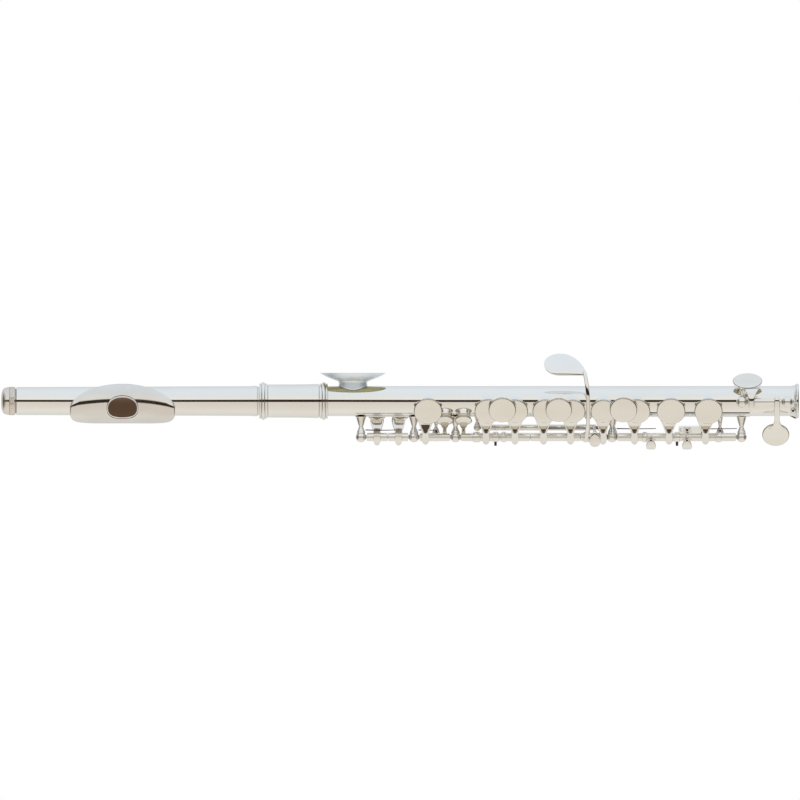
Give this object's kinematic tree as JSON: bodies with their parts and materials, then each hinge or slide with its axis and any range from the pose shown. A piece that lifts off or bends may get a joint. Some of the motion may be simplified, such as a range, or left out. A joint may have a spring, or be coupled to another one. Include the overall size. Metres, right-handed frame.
{
  "type": "piccolo",
  "caption": "Metal piccolo of the flute family: head joint with lip plate and crown, and a cylindrical body with closed-cup keys on rib-mounted hinge rods.",
  "frame": {"origin": "centre of the bounding box in X and Y, at its lowest level in Z", "axes": "+X along the tube from the crown to the foot, +Z the way the tone holes open, -Y the player's side with the hinge rods"},
  "size_m": [0.3192, 0.0396, 0.0253],
  "materials": {
    "silver_plate": "polished silver plate",
    "satin_silver": "satin silver plate",
    "hinge_steel": "turned steel",
    "blued_spring": "blued steel",
    "cork": "cork",
    "pad_skin": "bladder skin over felt"
  },
  "bodies": {
    "body": {"body_tube": "silver_plate", "barrel": "silver_plate", "barrel_ring_upper": "silver_plate", "barrel_ring_lower": "silver_plate", "end_ring": "silver_plate", "finger_rest": "silver_plate", "left_rib": "silver_plate", "right_rib": "silver_plate", "e_flat_post_upper": "silver_plate", "e_flat_post_lower": "silver_plate", "thumb_steel": "hinge_steel", "c_steel": "hinge_steel", "left_hand_steel": "hinge_steel", "right_hand_steel": "hinge_steel", "e_flat_steel": "hinge_steel", "side_steel": "hinge_steel", "thumb_spring": "blued_spring", "c_spring": "blued_spring", "left_hand_spring": "blued_spring", "right_hand_spring": "blued_spring", "d_spring": "blued_spring"},
    "head_joint": {"head_tube": "silver_plate", "lip_riser": "silver_plate", "lip_plate": "satin_silver"},
    "crown": {"head_crown": "satin_silver"},
    "stopper": {"stopper_stem": "silver_plate", "stopper_cork": "cork", "stopper_nut": "silver_plate"},
    "c_key": {"c_key": "silver_plate", "c_key_pad": "pad_skin"},
    "b_flat_key": {"b_flat_key": "silver_plate", "b_flat_key_pad": "pad_skin", "adjusting_screw_left": "hinge_steel"},
    "a_key": {"a_key": "silver_plate", "a_key_pad": "pad_skin"},
    "g_key": {"g_key": "silver_plate", "g_upper_pad": "pad_skin", "g_lower_pad": "pad_skin"},
    "g_sharp_key": {"g_sharp_key": "silver_plate", "g_sharp_key_pad": "pad_skin"},
    "f_sharp_key": {"f_sharp_key": "silver_plate", "f_sharp_key_pad": "pad_skin"},
    "f_key": {"f_key": "silver_plate", "f_key_pad": "pad_skin"},
    "e_key": {"e_key": "silver_plate", "e_key_pad": "pad_skin", "adjusting_screw_right": "hinge_steel"},
    "d_key": {"d_key": "silver_plate", "d_key_pad": "pad_skin"},
    "e_flat_key": {"e_flat_key": "silver_plate", "e_flat_key_pad": "pad_skin"},
    "thumb_b_flat_key": {"thumb_b_flat_key": "silver_plate", "thumb_b_flat_key_pad": "pad_skin"},
    "thumb_b_key": {"thumb_b_key": "silver_plate", "thumb_b_key_pad": "pad_skin"},
    "d_trill_key": {"d_trill_key": "silver_plate", "d_trill_key_pad": "pad_skin"},
    "d_sharp_trill_key": {"d_sharp_trill_key": "silver_plate", "d_sharp_trill_key_pad": "pad_skin"},
    "side_b_flat_lever": {"side_b_flat_lever": "silver_plate"}
  },
  "joints": [
    {"name": "head_slide", "type": "slide", "parent": "body", "child": "head_joint", "axis": [-1, 0, 0], "range_m": [0, 0.006]},
    {"name": "crown_turn", "type": "hinge", "parent": "head_joint", "child": "crown", "pos_m": [-0.1566, -0.00152, 0.01154], "axis": [1, 0, 0], "range_deg": [-180, 180]},
    {"name": "stopper_travel", "type": "slide", "parent": "head_joint", "child": "stopper", "axis": [1, 0, 0], "range_m": [-0.00026, 0.00026]},
    {"name": "c_key_hinge", "type": "hinge", "parent": "body", "child": "c_key", "pos_m": [0.0102, -0.01505, 0.01647], "axis": [1, 0, 0], "range_deg": [-5.5, 0]},
    {"name": "b_flat_key_hinge", "type": "hinge", "parent": "body", "child": "b_flat_key", "pos_m": [0.0344, -0.01505, 0.01647], "axis": [1, 0, 0], "range_deg": [-5.5, 0]},
    {"name": "a_key_hinge", "type": "hinge", "parent": "body", "child": "a_key", "pos_m": [0.046, -0.01505, 0.01647], "axis": [1, 0, 0], "range_deg": [-5.5, 0]},
    {"name": "g_key_hinge", "type": "hinge", "parent": "body", "child": "g_key", "pos_m": [0.0574, -0.01505, 0.01647], "axis": [1, 0, 0], "range_deg": [-5.5, 0]},
    {"name": "f_sharp_key_hinge", "type": "hinge", "parent": "body", "child": "f_sharp_key", "pos_m": [0.0812, -0.01505, 0.01647], "axis": [1, 0, 0], "range_deg": [-5.5, 0]},
    {"name": "f_key_hinge", "type": "hinge", "parent": "body", "child": "f_key", "pos_m": [0.0938, -0.01505, 0.01647], "axis": [1, 0, 0], "range_deg": [-5.5, 0]},
    {"name": "e_key_hinge", "type": "hinge", "parent": "body", "child": "e_key", "pos_m": [0.1076, -0.01505, 0.01647], "axis": [1, 0, 0], "range_deg": [-5.5, 0]},
    {"name": "d_key_hinge", "type": "hinge", "parent": "body", "child": "d_key", "pos_m": [0.1222, -0.01505, 0.01647], "axis": [1, 0, 0], "range_deg": [-5.5, 0]},
    {"name": "thumb_b_flat_key_hinge", "type": "hinge", "parent": "body", "child": "thumb_b_flat_key", "pos_m": [-0.0092, -0.01505, 0.01647], "axis": [1, 0, 0], "range_deg": [0, 5.5]},
    {"name": "thumb_b_key_hinge", "type": "hinge", "parent": "body", "child": "thumb_b_key", "pos_m": [-0.0006, -0.01505, 0.01647], "axis": [1, 0, 0], "range_deg": [0, 5.5]},
    {"name": "g_sharp_key_hinge", "type": "hinge", "parent": "body", "child": "g_sharp_key", "pos_m": [0.07525, -0.01505, 0.01647], "axis": [1, 0, 0], "range_deg": [-5.5, 0]},
    {"name": "e_flat_key_hinge", "type": "hinge", "parent": "body", "child": "e_flat_key", "pos_m": [0.1406, 0.00151, 0.02086], "axis": [1, 0, 0], "range_deg": [0, 10]},
    {"name": "d_trill_key_hinge", "type": "hinge", "parent": "body", "child": "d_trill_key", "pos_m": [0.0254, -0.01638, 0.01258], "axis": [1, 0, 0], "range_deg": [0, 8]},
    {"name": "d_sharp_trill_key_hinge", "type": "hinge", "parent": "body", "child": "d_sharp_trill_key", "pos_m": [0.0179, -0.01638, 0.01258], "axis": [1, 0, 0], "range_deg": [0, 8]},
    {"name": "side_b_flat_lever_hinge", "type": "hinge", "parent": "body", "child": "side_b_flat_lever", "pos_m": [0.0774, -0.01249, 0.01231], "axis": [1, 0, 0], "range_deg": [-4, 0]}
  ],
  "couplings": [
    {"joint": "f_sharp_key_hinge", "follows": "f_key_hinge", "ratio": 1},
    {"joint": "b_flat_key_hinge", "follows": "a_key_hinge", "ratio": 1},
    {"joint": "stopper_travel", "follows": "crown_turn", "m_per_rad": 0.000079577}
  ]
}
